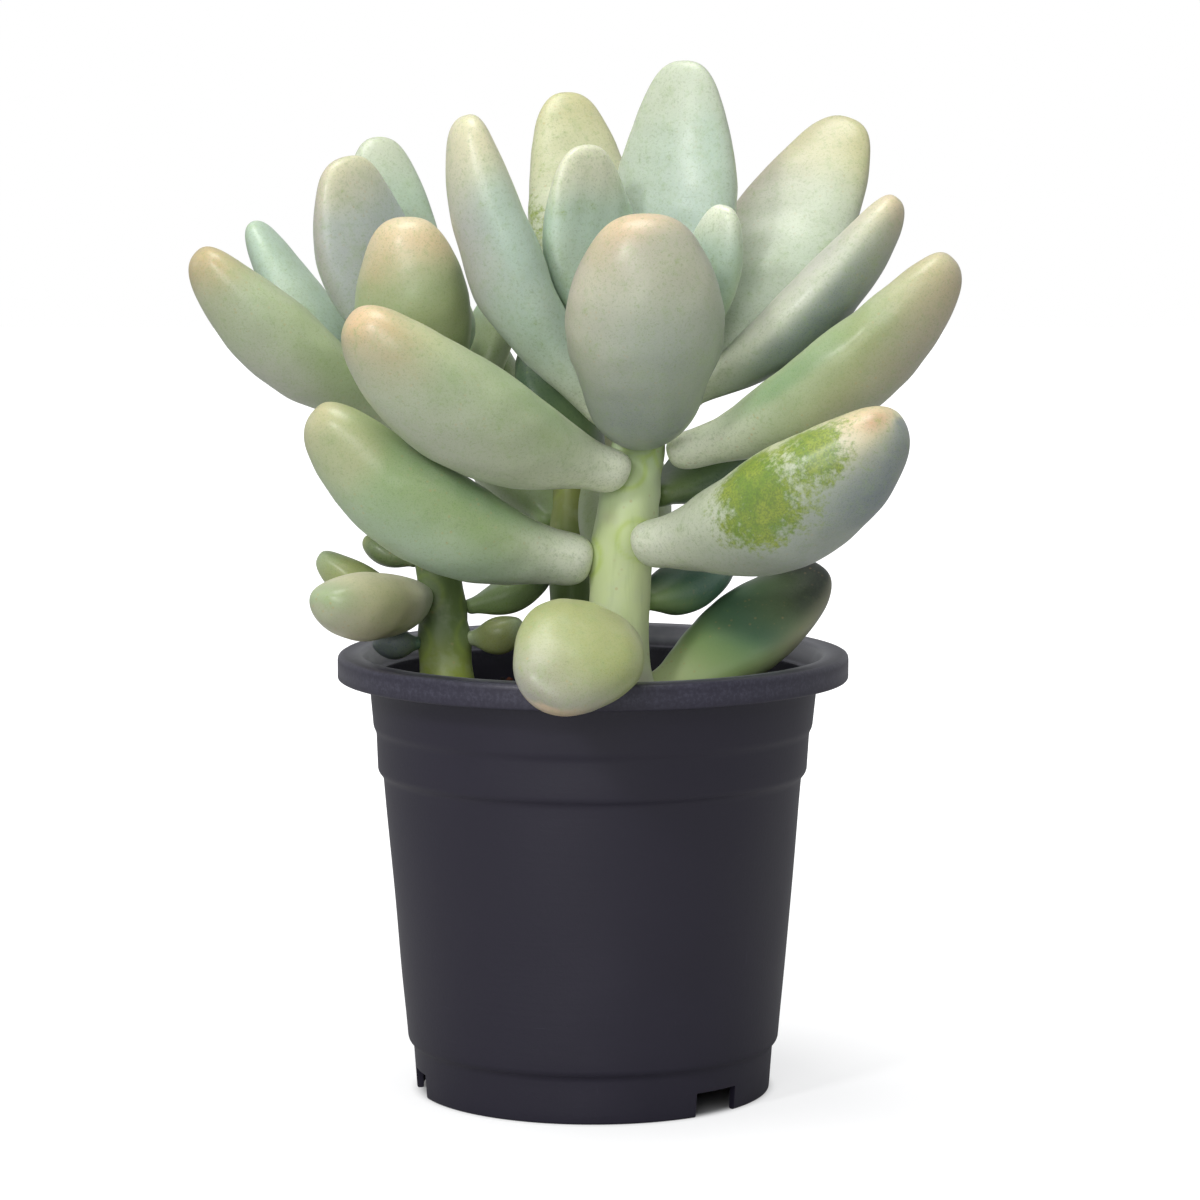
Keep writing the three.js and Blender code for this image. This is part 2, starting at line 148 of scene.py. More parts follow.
# %% Make a mesh from a grid
def closed_skin(name, grid, poles, painted=None):
    """A closed mesh from a grid of rows by columns, its columns joined round and a pole at each
    end. Painted values are arrays of one number or one colour per grid point."""
    rows, columns = grid.shape[:2]
    points = np.concatenate([poles[0][None], grid.reshape(-1, 3), poles[1][None]])
    index = 1 + np.arange(rows * columns).reshape(rows, columns)
    turned = np.roll(index, -1, axis=1)
    quads = np.stack([index[:-1], turned[:-1], turned[1:], index[1:]], axis=-1).reshape(-1, 4)
    last = len(points) - 1
    start = np.stack([np.zeros(columns, int), turned[0], index[0]], axis=-1)
    end = np.stack([np.full(columns, last), index[-1], turned[-1]], axis=-1)
    thirds = np.concatenate([quads[:, [0, 1, 2]], quads[:, [0, 2, 3]], start, end])
    a, b, c = ((points - points.mean(axis=0))[thirds[:, k]] for k in (0, 1, 2))
    enclosed = np.einsum("ij,ij->", a, np.cross(b, c))
    if enclosed < 0:
        quads, start, end = quads[:, ::-1], start[:, ::-1], end[:, ::-1]

    mesh = bpy.data.meshes.new(name)
    corners = np.concatenate([quads.ravel(), start.ravel(), end.ravel()]).astype(np.int32)
    sizes = np.concatenate([np.full(len(quads), 4), np.full(2 * columns, 3)])
    mesh.vertices.add(len(points))
    mesh.loops.add(len(corners))
    mesh.polygons.add(len(sizes))
    mesh.vertices.foreach_set("co", points.astype(np.float32).ravel())
    mesh.loops.foreach_set("vertex_index", corners)
    mesh.polygons.foreach_set("loop_start", (np.cumsum(sizes) - sizes).astype(np.int32))
    mesh.polygons.foreach_set("use_smooth", np.ones(len(sizes), bool))
    mesh.update(calc_edges=True)
    mesh.validate()
    for key, values in (painted or {}).items():
        depth = 1 if values.ndim == 2 else values.shape[2]
        flat = values.reshape(rows, columns, depth)
        every = np.concatenate([flat[:1].mean(axis=1), flat.reshape(-1, depth), flat[-1:].mean(axis=1)])
        paint_points(mesh, key, every)
    return mesh


def paint_points(mesh, key, values):
    """Store one number, or one colour of three parts, per point of a mesh."""
    if values.shape[1] == 1:
        attribute = mesh.attributes.new(key, "FLOAT", "POINT")
        attribute.data.foreach_set("value", values.astype(np.float32).ravel())
        return
    colours = np.concatenate([values, np.ones((len(values), 1))], axis=1)
    attribute = mesh.attributes.new(key, "FLOAT_COLOR", "POINT")
    attribute.data.foreach_set("color", colours.astype(np.float32).ravel())


def place_piece(name, mesh, material, replaced=()):
    """Put a finished mesh in the scene at the origin, on the one body, in place of its CAD nodes."""
    mesh.materials.append(material)
    piece = added(name, mesh)
    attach(piece, "root")
    if replaced:
        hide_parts(*replaced)


# %% [markdown]
# ## Small unevenness
# Nothing that grows is quite smooth, and neither is loose soil. A few sine waves that run in
# different directions and are added up give a soft unevenness that is the same each time, because
# the directions come from a numbered seed.

# %% Soft unevenness and soft steps
def unit(vectors):
    """Each vector divided by its length."""
    return vectors / np.linalg.norm(vectors, axis=-1, keepdims=True)


def ripple(points, size, seed, waves=6):
    """Soft unevenness, mostly between -1.4 and 1.4: the sum of sine waves about size long, in
    directions drawn from the seed, divided by the square root of their number."""
    dice = np.random.default_rng(seed)
    heading = unit(dice.normal(size=(waves, 3)))
    pace = 2 * math.pi / (size * dice.uniform(0.7, 1.4, waves))
    shift = dice.uniform(0, 2 * math.pi, waves)
    return np.sin(points @ (heading * pace[:, None]).T + shift).sum(axis=-1) / math.sqrt(waves)


def step(x, low, high):
    """0 below low, 1 above high, and an even S between them."""
    t = np.clip((x - low) / (high - low), 0, 1)
    return t * t * (3 - 2 * t)


def hump(x, middle, width):
    """1 at the middle, falling off like a bell on both sides."""
    return np.exp(-(((x - middle) / width) ** 2))


def blend(first, second, share):
    """From the first colour to the second: the first, plus each point's share of the difference."""
    return first + (second - first) * share[..., None]


def circle(columns):
    """Directions evenly spaced round the z axis: the cosine and the sine of each angle, and 0."""
    turn = 2 * math.pi * np.arange(columns) / columns
    return np.stack([np.cos(turn), np.sin(turn), np.zeros_like(turn)], axis=1)


# %% [markdown]
# ## Colours
# The leaves look pale from a distance, but each is a blend: mint and powder blue under the waxy
# bloom, cream and peach at sunlit tips, lilac on edges, and a clear green where the bloom has been
# rubbed off. The colours are named once here and each leaf's coat picks from them.

# %% Name the colours
def colour(code):
    """A colour written as six hex digits, as the three linear parts that a shader works with."""
    parts = np.array([int(code[k:k + 2], 16) for k in (0, 2, 4)]) / 255
    return np.where(parts <= 0.04045, parts / 12.92, ((parts + 0.055) / 1.055) ** 2.4)


CODES = {
    "mint": "a8beac", "powder": "a1b5ad", "dove": "a5a69a", "pearl": "bcc3ad",
    "cream": "cfc9a6", "butter": "c3c089", "peach": "dcb98f", "tan": "b39a68",
    "rose": "ac9a90", "lilac": "aea3a8", "slate": "66727a", "sage": "9cab82",
    "leaf": "86a063", "grass": "74903a", "lime": "abbd76", "olive": "8f9855",
    "teal": "3f6b58", "pine": "36533a", "moss": "5f7340", "rust": "a9643f",
    "ink": "0a140e", "celery": "c6d39c", "sun": "93a243", "stem_blue": "b1c5a3",
    "milk": "dde1cc", "dusk": "869089", "ash": "938f85", "khaki": "b5ad82",
    "haze": "a3b1ae", "spring": "a8c03f", "fern": "6f9162",
}
PALETTE = {name: colour(code) for name, code in CODES.items()}
print("colours", len(PALETTE))

# %% [markdown]
# ## The coat of each leaf
# A coat starts from three colours along the leaf: foot, middle and tip. Then come washes, as a
# painter would lay them: a colour, how strong it is, where along the leaf it lies, how far it
# spreads, the side that it is on and, for a thin strip, how narrow it is. Rubbed patches give their
# place, spread, side and strength. A coat can also press a groove along the upper face, in
# millimetres, draw the tip to a point, swell the foot, make the leaf plumper or thin the powder.

# %% Describe the coats
FRONT, UP, DOWN = (0, -1, 0), (0, 0, 1), (0, 0, -1)
LEFT, RIGHT = (-1, 0, 0), (1, 0, 0)
ALL = None


def coat(ends, *washes, **others):
    """A leaf's coat: its three colours in a row, its washes, and whatever else shapes it."""
    return dict(others, ends=ends.split(), washes=washes)


# Painted shade: a near-black coat for leaves that sit in the shade deep in the plant.
PAINTED_SHADE = coat("moss pine ink", ("leaf", 0.45, 0.45, 0.25, UP), powder=0.4)
GREEN = coat("leaf sage cream", ("butter", 0.3, 0.85, 0.2, UP))

# Painted light: most leaves start from milk at the foot, a pale colour that stands for the light reaching
# the feet deep in the rosette.
COATS = {
    "main_front_egg": coat("dusk dusk ash",
        ("rose", 0.75, 0.75, 0.35, LEFT), ("cream", 0.45, 0.84, 0.16, FRONT),
        ("peach", 0.8, 1.0, 0.05, ALL), ("tan", 0.4, 0.92, 0.06, LEFT),
        ("pearl", 0.35, 0.6, 0.22, FRONT), ("slate", 0.25, 0.2, 0.25, FRONT),
        foot=(0.42, 0.12, 0.15)),
    "main_back_tall": coat("powder mint pearl",
        ("pearl", 0.7, 0.7, 0.5, LEFT), ("pearl", 0.6, 0.7, 0.5, RIGHT),
        ("powder", 0.6, 0.45, 0.3, FRONT), pointed=0.1, plump=1.06),
    "main_back_left_tall": coat("milk pearl khaki",
        ("butter", 0.55, 0.92, 0.25, ALL), ("mint", 0.3, 0.4, 0.3, FRONT),
        rubbed=[(0.66, 0.2, (-1, -0.25, 0), 0.42)]),
    "main_left_long": coat("milk mint cream",
        ("lilac", 0.85, 0.7, 0.22, LEFT), ("cream", 0.5, 0.95, 0.15, ALL),
        ("powder", 0.5, 0.5, 0.3, FRONT)),
    "main_inner_left": coat("milk mint milk",
        ("cream", 0.5, 0.97, 0.14, ALL), pointed=0.05, plump=1.08),
    "main_inner_right": coat("mint mint milk", ("leaf", 0.25, 0.5, 0.5, RIGHT), plump=1.1),
    "main_right_broad": coat("milk pearl khaki",
        ("rose", 0.8, 0.75, 0.35, LEFT), ("butter", 0.4, 0.93, 0.12, ALL),
        ("mint", 0.5, 0.45, 0.35, FRONT), pointed=0.06),
    # Painted shade: the strong slate wash on the underside stands for the shade under the leaf.
    "main_right_slim": coat("milk pearl cream",
        ("lilac", 0.55, 0.7, 0.3, UP), ("slate", 1.0, 0.6, 0.34, (0.4, -0.4, -1)),
        ("teal", 0.45, 0.3, 0.2, DOWN), ("peach", 0.5, 1.0, 0.07, ALL)),
    # Painted shade: the narrow fern strip lies along the groove and stands for the shade in it.
    "main_upper_right": coat("milk sage cream",
        ("olive", 0.8, 0.72, 0.16, FRONT), ("rose", 0.7, 0.8, 0.3, DOWN),
        ("tan", 0.4, 0.95, 0.1, ALL), ("fern", 0.85, 0.45, 0.25, (-0.45, -0.7, 0.5), 0.08),
        groove=1.5),
    # Painted shade: the slate and dusk washes on the underside stand for the shade under the leaf.
    "main_lower_right": coat("milk pearl cream",
        ("slate", 1.0, 0.85, 0.3, (1, -0.3, -0.7)),
        ("dusk", 0.5, 0.5, 0.35, DOWN), ("butter", 0.55, 0.75, 0.25, UP),
        ("peach", 0.7, 0.96, 0.09, (-0.2, -0.5, 1)), ("rust", 0.95, 0.985, 0.025, (0.2, -0.6, 0.8)),
        rubbed=[(0.6, 0.13, (-0.1, -0.95, 0.4), 1.0), (0.8, 0.12, (0.05, -0.8, 0.6), 0.95)]),
    # Painted shade: the narrow fern strip lies along the groove and stands for the shade in it.
    "main_upper_left": coat("milk sage tan",
        ("butter", 0.6, 0.84, 0.14, UP), ("milk", 0.5, 0.25, 0.3, DOWN), ("dove", 0.6, 0.65, 0.3, DOWN),
        ("fern", 0.45, 0.45, 0.2, (0.35, -0.65, 0.65), 0.1), ("peach", 0.9, 1.0, 0.045, ALL)),
    # Painted shade: the narrow fern strip lies along the groove and stands for the shade in it.
    "main_lower_left": coat("milk leaf khaki",
        ("mint", 0.6, 0.5, 0.4, DOWN), ("fern", 0.85, 0.5, 0.3, (0.4, -0.65, 0.65), 0.1),
        ("butter", 0.5, 0.8, 0.25, (-0.8, -0.6, 0.1), 0.2), groove=1.4),
    "main_front_drooping": coat("leaf olive ash",
        ("olive", 0.8, 0.55, 0.3, FRONT), ("butter", 0.3, 0.5, 0.3, UP),
        ("peach", 0.6, 0.98, 0.05, DOWN)),
    # Painted shade: the teal and ink washes darken the tip's front, standing for the shade it sits in.
    "main_foot_right": coat("celery leaf ink",
        ("teal", 0.8, 0.6, 0.16, (-0.5, -0.8, 0.5)), ("ink", 0.95, 0.92, 0.22, (-0.4, -0.8, 0.6)),
        ("rose", 0.5, 0.75, 0.25, (0.8, 0, -0.8)), ("celery", 0.6, 0.3, 0.2, DOWN),
        powder=0.15),
    # Painted shade: the dark teal body stands for the shade under the big front leaf.
    "main_low_right_shaded": coat("leaf teal teal", ("leaf", 0.5, 0.2, 0.25, DOWN), powder=0.4),
    "left_far": coat("pearl sage tan",
        ("dove", 0.85, 0.55, 0.25, DOWN), ("olive", 0.45, 0.88, 0.12, UP),
        ("leaf", 0.35, 0.3, 0.2, FRONT)),
    "left_far_back": coat("mint mint mint", ("leaf", 0.3, 0.8, 0.3, DOWN), plump=1.25),
    "left_upright": coat("haze haze cream",
        ("lilac", 0.3, 0.6, 0.35, FRONT), ("rose", 0.5, 0.8, 0.3, LEFT)),
    "left_upright_back": coat("mint mint pearl", ("leaf", 0.25, 0.5, 0.4, RIGHT)),
    "left_front": coat("pearl sage cream",
        ("olive", 0.55, 0.62, 0.22, FRONT), ("peach", 0.6, 0.95, 0.09, ALL),
        ("tan", 0.5, 0.85, 0.1, LEFT)),
    "left_right_back": coat("leaf sage mint"),
    "left_low_oval": coat("milk cream sage",
        ("olive", 0.6, 0.6, 0.3, FRONT), ("dove", 0.5, 0.15, 0.2, ALL),
        ("rose", 0.35, 0.95, 0.15, DOWN), foot=(0.42, 0.16, 0.2), powder=0.6),
    "left_low_back": coat("olive olive sage"),
    "left_low_up": coat("moss moss olive"),
    "left_low_right": coat("leaf leaf pine"),
    "left_foot_right": coat("sage olive sage"),
    "left_foot_left": coat("teal slate slate"),
    # Painted shade: back_left and every leaf given the shade coat are painted dark for the shade they sit
    # in.
    "back_left": coat("moss moss pine", ("sage", 0.8, 0.5, 0.4, (-0.4, -0.9, 0))),
    "back_right": PAINTED_SHADE, "back_far": GREEN, "back_far_left": GREEN, "back_heart": PAINTED_SHADE,
    "main_back_right_shaded": PAINTED_SHADE, "main_back_left_shaded": PAINTED_SHADE,
    "main_back": GREEN, "left_back": GREEN, "left_heart": coat("mint mint pearl"),
}
print("coats", len(COATS), "leaves without one", [n for n in leaf_names if n[5:] not in COATS])

# %% [markdown]
# ## A leaf as a surface
# A leaf has a midrib that curves in one plane, and round it an oval whose width and thickness
# change along the leaf. The rings give the midrib's points and the oval's sizes, and a low
# polynomial through them gives both everywhere between. One angle goes from foot to tip and
# the other goes round, which sets the rows close together at the two rounded ends.

# %% Read and redraw a leaf
LEAF_ROWS = 72
LEAF_COLUMNS = 80
BLUNTNESS = 0.8
FOOT_BLUNTNESS = 0.3
TIP_BLUNTNESS = 0.03
BELLY = 0.2
TOP_CORNER = math.radians(72)
FOOT_SWELL = (0.2, 0.03, 0.07)
GROOVE_WIDTH = 0.34


def read_leaf(node):
    """A leaf's midrib, its sideways axis, and its width and thickness, as functions of the share of
    the way along it. The midrib is a parabola through the rings' middles. The sideways axis is the
    one direction in which those middles don't vary. The fuller half of each ring is the underside,
    so its middle lies a twentieth of the thickness below the midrib. The topmost corner of a ring
    with ten sides stands at 72 degrees, so the thickness is a little more than the ring's own."""
    found = rings(node, LEAF_SIDES, stem_middles[node.split("_")[1]])
    angle = np.linspace(0, math.pi, len(found))
    along = (1 - np.cos(angle)) / 2
    middles = np.array([ring.mean(axis=0) for ring in found])
    across = np.linalg.svd(middles - middles.mean(axis=0))[2][2]
    for _ in range(2):
        midrib = np.polyfit(along, middles, 2)
        heading = 2 * along[:, None] * midrib[0] + midrib[1]
        upper = np.cross(unit(heading), across)
        rounds = [ring - middle for ring, middle in zip(found, middles)]
        lean = sum(((ring @ axis) ** 3).sum() for ring, axis in zip(rounds, upper))
        across = -across if lean > 0 else across
    middles = middles.copy()
    wide = np.array([np.ptp(ring @ across) for ring in found[1:-1]])
    thick = np.array([np.ptp(ring @ axis) for ring, axis in zip(found[1:-1], upper[1:-1])])
    thick /= math.sin(TOP_CORNER)
    middles[1:-1] += upper[1:-1] * (thick * BELLY / 4)[:, None]
    full = np.sin(angle[1:-1]) ** BLUNTNESS
    return dict(midrib=np.polyfit(along, middles, 2), across=across,
                wide=np.polyfit(along[1:-1], wide / full, 4),
                thick=np.polyfit(along[1:-1], thick / full, 4), poles=(found[0][0], found[-1][0]))


def leaf_grid(leaf, layers, seed):
    """The leaf's points, and at each of them its place along the leaf and its outward direction.
    A point is the midrib, plus half the width times the cosine of the angle round, sideways, plus
    half the thickness times the sine, upwards, less a little where the upper face is flatter and
    where it has a groove. A fine unevenness is added outwards."""
    angle = (math.pi * np.arange(1, LEAF_ROWS) / LEAF_ROWS)[:, None]
    turn = (2 * math.pi * np.arange(LEAF_COLUMNS) / LEAF_COLUMNS)[None]
    along = (1 - np.cos(angle)) / 2
    swell, place, spread = layers.get("foot", FOOT_SWELL)
    blunt = FOOT_BLUNTNESS * (1 - step(along, 0, 0.25)) + TIP_BLUNTNESS * step(along, 0.78, 1)
    full = np.sin(angle) ** (BLUNTNESS - blunt) * layers.get("plump", 1)
    full = full * (1 - layers.get("pointed", 0) * step(along, 0.6, 1))
    full = full * (1 + swell * hump(along, place, spread))
    half_width = np.polyval(leaf["wide"], along) * full / 2
    half_thick = np.polyval(leaf["thick"], along) * full / 2
    bend, run, start = leaf["midrib"]
    share = along[..., None]
    middle = share ** 2 * bend + share * run + start
    upper = np.cross(unit(2 * share * bend + run), leaf["across"])
    rise = half_thick * (np.sin(turn) - BELLY * np.sin(turn) ** 2)
    groove = layers.get("groove", 0) * MM * hump(np.cos(turn), 0, GROOVE_WIDTH) * step(np.sin(turn), 0, 0.6)
    rise = rise - groove * np.sin(angle) ** 1.5 * step(along, 0.1, 0.35) * (1 - step(along, 0.7, 0.95))
    points = middle + (half_width * np.cos(turn))[..., None] * leaf["across"] + rise[..., None] * upper
    outward = np.cos(turn)[..., None] * leaf["across"] / half_width[..., None]
    outward = unit(outward + np.sin(turn)[..., None] * upper / half_thick[..., None])
    uneven = 0.22 * ripple(points, 0.017, seed) + 0.08 * ripple(points, 0.007, seed + 1)
    points = points + outward * (uneven * MM * np.sin(angle))[..., None]
    return points, np.broadcast_to(along, points.shape[:2]), outward


# %% [markdown]
# ## Painting a leaf
# Each point's colour is blended from the coat. How far a wash reaches depends on the place along
# the leaf and on how much the surface faces the wash's side, with soft uneven borders. Rubbed
# patches are kept as a mask of their own, because they change the gloss as well as the colour.

# %% Blend a coat onto a leaf
def straightness(outward, side):
    """The cosine of the angle between each outward direction and a side."""
    return outward @ (np.array(side, float) / np.linalg.norm(side))


def facing(outward, side, narrow=None):
    """How much a surface faces a side, from 0 at about a right angle to 1 nearly straight on. A
    narrow wash keeps to a strip that faces the side almost straight."""
    if side is None:
        return 1.0
    straight = straightness(outward, side)
    return hump(1 - straight, 0, narrow) if narrow else step(straight, -0.05, 0.85)


def paint_leaf(layers, points, along, outward, seed):
    """The colour of each point, and how rubbed it is."""
    foot, middle, tip = (PALETTE[name] for name in layers["ends"])
    drift = along + 0.035 * ripple(points, 0.02, seed + 2)
    paint = blend(foot, middle, step(drift, 0.05, 0.42))
    paint = blend(paint, tip, step(drift, 0.76, 1.0))
    for name, strength, place, spread, *side in layers["washes"]:
        share = strength * hump(drift, place, spread) * facing(outward, *side)
        paint = blend(paint, PALETTE[name], share)
    rubbed = np.zeros(points.shape[:2])
    for place, spread, side, strength in layers.get("rubbed", ()):
        patch = hump(drift, place, spread) * step(straightness(outward, side), 0.15, 0.8)
        rubbed = np.maximum(rubbed, strength * patch)
    return paint, rubbed


# %% [markdown]
# ## Shader maths
# A material's graph is easier to read as a sum than as a list of links. A small class wraps a
# socket, so that adding and multiplying wrapped sockets adds the Math nodes. The colours go through
# Mix nodes, and one method makes any other node.

# %% A small language for materials
def joined(operation, swapped=False):
    """A method that joins a value and another number with a Math node."""
    def method(self, other):
        pair = (other, self) if swapped else (self, other)
        return self.shader.node("ShaderNodeMath", dict(operation=operation), dict(enumerate(pair)))
    return method


class Value:
    """A number that changes over a surface: an output socket whose sums and products are nodes."""

    def __init__(self, shader, socket):
        self.shader, self.socket = shader, socket

    __add__, __radd__ = joined("ADD"), joined("ADD", swapped=True)
    __sub__, __rsub__ = joined("SUBTRACT"), joined("SUBTRACT", swapped=True)
    __mul__, __rmul__ = joined("MULTIPLY"), joined("MULTIPLY", swapped=True)

    def between(self, low, high):
        """0 where this is below low, 1 above high, and an even S between them."""
        settings = dict(interpolation_type="SMOOTHSTEP")
        return self.shader.node("ShaderNodeMapRange", settings, {0: self, 1: low, 2: high, 3: 0.0, 4: 1.0})


class Finish:
    """A material under construction: its node tree, its surface shader and its object coordinates."""

    def __init__(self, name, roughness, **constants):
        self.material = bpy.data.materials.new(name)
        self.material.use_nodes = True
        self.tree = self.material.node_tree
        self.surface = next(n for n in self.tree.nodes if n.type == "BSDF_PRINCIPLED")
        self.surface.inputs["Roughness"].default_value = roughness
        for socket, number in constants.items():
            self.surface.inputs[socket.replace("_", " ")].default_value = number
        self.place = self.node("ShaderNodeTexCoord", out="Object")

    def node(self, kind, settings=None, inputs=None, out=0):
        """Any node: its settings come first, then the values or links of its sockets."""
        made = self.tree.nodes.new(kind)
        for key, setting in (settings or {}).items():
            setattr(made, key, setting)
        for key, given in (inputs or {}).items():
            if isinstance(given, Value):
                self.tree.links.new(given.socket, made.inputs[key])
            else:
                made.inputs[key].default_value = given
        return Value(self, made.outputs[out])

    def painted(self, key, out="Fac"):
        return self.node("ShaderNodeAttribute", dict(attribute_name=key), out=out)

    def noise(self, scale, detail=3.0, roughness=0.55, place=None):
        inputs = {"Vector": place or self.place, "Scale": scale, "Detail": detail, "Roughness": roughness}
        return self.node("ShaderNodeTexNoise", None, inputs, "Fac")

    def stretched(self, x, y, z):
        """Object coordinates scaled by a different amount along each axis."""
        return self.node("ShaderNodeMapping", None, {"Vector": self.place, "Scale": (x, y, z)}, "Vector")

    def cells(self, scale):
        return self.node("ShaderNodeTexVoronoi", None, {"Vector": self.place, "Scale": scale}, "Distance")

    def mix(self, share, first, second):
        """From the first colour to the second, by the share."""
        ready = [c if isinstance(c, Value) else (*[float(x) for x in c], 1.0) for c in (first, second)]
        return self.node("ShaderNodeMix", dict(data_type="RGBA"), {0: share, 6: ready[0], 7: ready[1]}, 2)

    def link(self, socket, value):
        self.tree.links.new(value.socket, self.surface.inputs[socket])

    def bump(self, height, depth, strength):
        inputs = {"Height": height, "Distance": depth, "Strength": strength}
        self.link("Normal", self.node("ShaderNodeBump", None, inputs, "Normal"))


# %% [markdown]
# ## The leaf's skin
# The real skin is green, and a powdery wax lies over it. The wax scatters light, so the leaf is
# pale and the shine is broad. It is thinner in places, which shows as mottling, and where fingers
# or water took it off the skin is a clear, glossier green. A few fine tan dots lie on the wax.

# %% Make the leaf skins
def leaf_skin(name, freckles, bloom):
    """One leaf finish. Freckles is how strong the dots are and bloom how strong the powder is."""
    skin = Finish(name, 0.42, Coat_Weight=0.3, Coat_Roughness=0.28, Subsurface_Weight=0.25,
                  Subsurface_Scale=0.006, Subsurface_Radius=(0.8, 1.0, 0.5), Specular_IOR_Level=0.42)
    clouds = skin.noise(62.0, 4.0, 0.6)
    grain = skin.noise(900.0, 3.0, 0.7)
    mottle = skin.noise(260.0, 4.0, 0.65)
    dust = skin.painted("powder")
    fine = skin.noise(2300.0, 2.0, 0.7)
    waxes = ((bloom, clouds, 0.42, 0.72, "pearl"), (0.26, mottle, 0.5, 0.72, "leaf"),
             (0.12, fine, 0.3, 0.5, "milk"), (0.26, grain, 0.5, 0.7, "leaf"),
             (0.26, fine, 0.52, 0.68, "moss"))
    dusted = skin.painted("coat", "Color")
    for share, pattern, low, high, tint in waxes:
        dusted = skin.mix(share * dust * pattern.between(low, high), dusted, PALETTE[tint])
    worn = (skin.painted("rubbed") * 1.3 + (mottle - 0.5) * 1.3 + (grain - 0.5) * 1.5).between(0.3, 1.0)
    clear = skin.mix(mottle.between(0.35, 0.65), PALETTE["grass"], PALETTE["sun"])
    bare = skin.mix(0.6 * fine.between(0.4, 0.65), clear, PALETTE["moss"])
    dots = skin.cells(620.0)
    dotted = (1 - dots.between(0.1, 0.24)) * clouds.between(0.46, 0.62) * freckles
    spotted = skin.mix(dotted, dusted, PALETTE["tan"])
    skin.link("Base Color", skin.mix(worn, spotted, bare))
    skin.link("Roughness", 0.33 + 0.14 * clouds + 0.08 * grain - 0.06 * worn)
    skin.bump(grain * 0.5 + mottle * 1.2 - worn * 0.6, 0.00012, 0.55)
    return skin.material


LEAF_SLOTS = {
    "leaf_mint": (0.1, 0.22), "leaf_cream": (0.25, 0.25), "leaf_lilac": (0.25, 0.18),
    "leaf_sage": (0.4, 0.2), "leaf_olive": (0.35, 0.12), "leaf_teal": (0.2, 0.08),
    "leaf_shade": (0.2, 0.05),
}
skins = {slot: leaf_skin(slot, *amounts) for slot, amounts in LEAF_SLOTS.items()}
print("leaf skins", len(skins))

# %% Draw every leaf
slot_of = {piece["node"]: piece["material_slot"] for piece in frame["record"]["subparts"]}
leaves = {name: read_leaf(name) for name in leaf_names}
for seed, (name, leaf) in enumerate(leaves.items()):
    layers = COATS[name[5:]]
    points, along, outward = leaf_grid(leaf, layers, 100 * seed)
    paint, rubbed = paint_leaf(layers, points, along, outward, 100 * seed)
    powder = np.full(along.shape, layers.get("powder", 1.0))
    painted = dict(coat=paint, rubbed=rubbed, powder=powder)
    mesh = closed_skin(name + "_skin", points, leaf["poles"], painted)
    place_piece(name + "_skin", mesh, skins[slot_of[name]], [name])
print("leaves drawn", len(leaves), "with", LEAF_ROWS * LEAF_COLUMNS * 2, "triangles each")

# %% [markdown]
# ## The stems
# A stem is round and a little uneven. Round the foot of every leaf it swells into a soft collar,
# and where an old leaf has dropped it keeps a shallow oval scar. Both are added to the radius: the
# collar as a bell of the distance to the leaf's foot, the scar as a ring with a dip inside.

# %% Read and redraw a stem
STEM_ROWS = 200
STEM_COLUMNS = 72
STEM_BLUNTNESS = 0.35
SOIL_TOP = float(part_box("soil")[1][2])
COLLAR_REACH = 0.0042
SCAR_REACH = 0.0019
SCAR_LIP = (0.0030, 0.0009)
GOLDEN_TURN = 2.4
SCAR_RING = 6


def stem_grid(name, feet, scars, seed):
    """A stem's points, how near each is to a leaf's foot, and how deep in a scar. The middle line is
    a polynomial through the rings' middles. The radius is a polynomial through the rings' radii,
    times a power of the sine of the angle from pole to pole, and a little more at the soil."""
    found, middles = stem_rings[name], stem_middles[name]
    angle = math.pi * np.arange(1, STEM_ROWS) / STEM_ROWS
    at = np.linspace(0, math.pi, len(found))
    along, coarse = (1 - np.cos(angle)) / 2, (1 - np.cos(at)) / 2
    centre = np.stack([np.polyval(np.polyfit(coarse, middles[:, k], 6), along) for k in (0, 1, 2)], axis=1)
    spread = np.array([np.linalg.norm(ring - ring.mean(axis=0), axis=1).mean() for ring in found[1:-1]])
    full = np.polyval(np.polyfit(coarse[1:-1], spread / np.sin(at[1:-1]) ** STEM_BLUNTNESS, 5), along)
    full = full + 1.3 * MM * hump(centre[:, 2], SOIL_TOP - 0.001, 0.009)
    radius = full * np.sin(angle) ** STEM_BLUNTNESS
    around = circle(STEM_COLUMNS)
    points = centre[:, None] + radius[:, None, None] * around[None]
    gap = np.linalg.norm(points[:, :, None] - np.array(feet)[None, None], axis=-1)
    collar = hump(gap, 0.0, COLLAR_REACH).max(axis=-1)
    sunk = np.linalg.norm((points[:, :, None] - np.array(scars)[None, None]) / (1, 1, 0.7), axis=-1)
    scar = hump(sunk, 0.0, SCAR_REACH).max(axis=-1)
    lip = hump(sunk, *SCAR_LIP).max(axis=-1)
    uneven = 0.20 * ripple(points, 0.021, seed) + 0.07 * ripple(points * (1, 1, 0.35), 0.004, seed + 1)
    swell = (0.8 * collar - 0.14 * scar + 0.07 * lip + uneven) * MM
    points = points + (swell * np.sin(angle)[:, None] ** 0.3)[..., None] * around[None]
    return points, collar, scar


def scar_places(name, count, low, high, seed):
    """Places on a stem's side, at drawn heights and azimuths a golden angle apart."""
    dice = np.random.default_rng(seed)
    middles = stem_middles[name]
    height = np.sort(dice.uniform(low, high, count))
    turn = GOLDEN_TURN * np.arange(count) + dice.uniform(0, 6)
    centre = np.stack([np.interp(height, middles[:, 2], middles[:, k]) for k in (0, 1)], axis=1)
    radius = np.linalg.norm(stem_rings[name][SCAR_RING] - middles[SCAR_RING], axis=1).mean()
    side = radius * np.stack([np.cos(turn), np.sin(turn)], axis=1)
    return np.concatenate([centre + side, height[:, None]], axis=1)


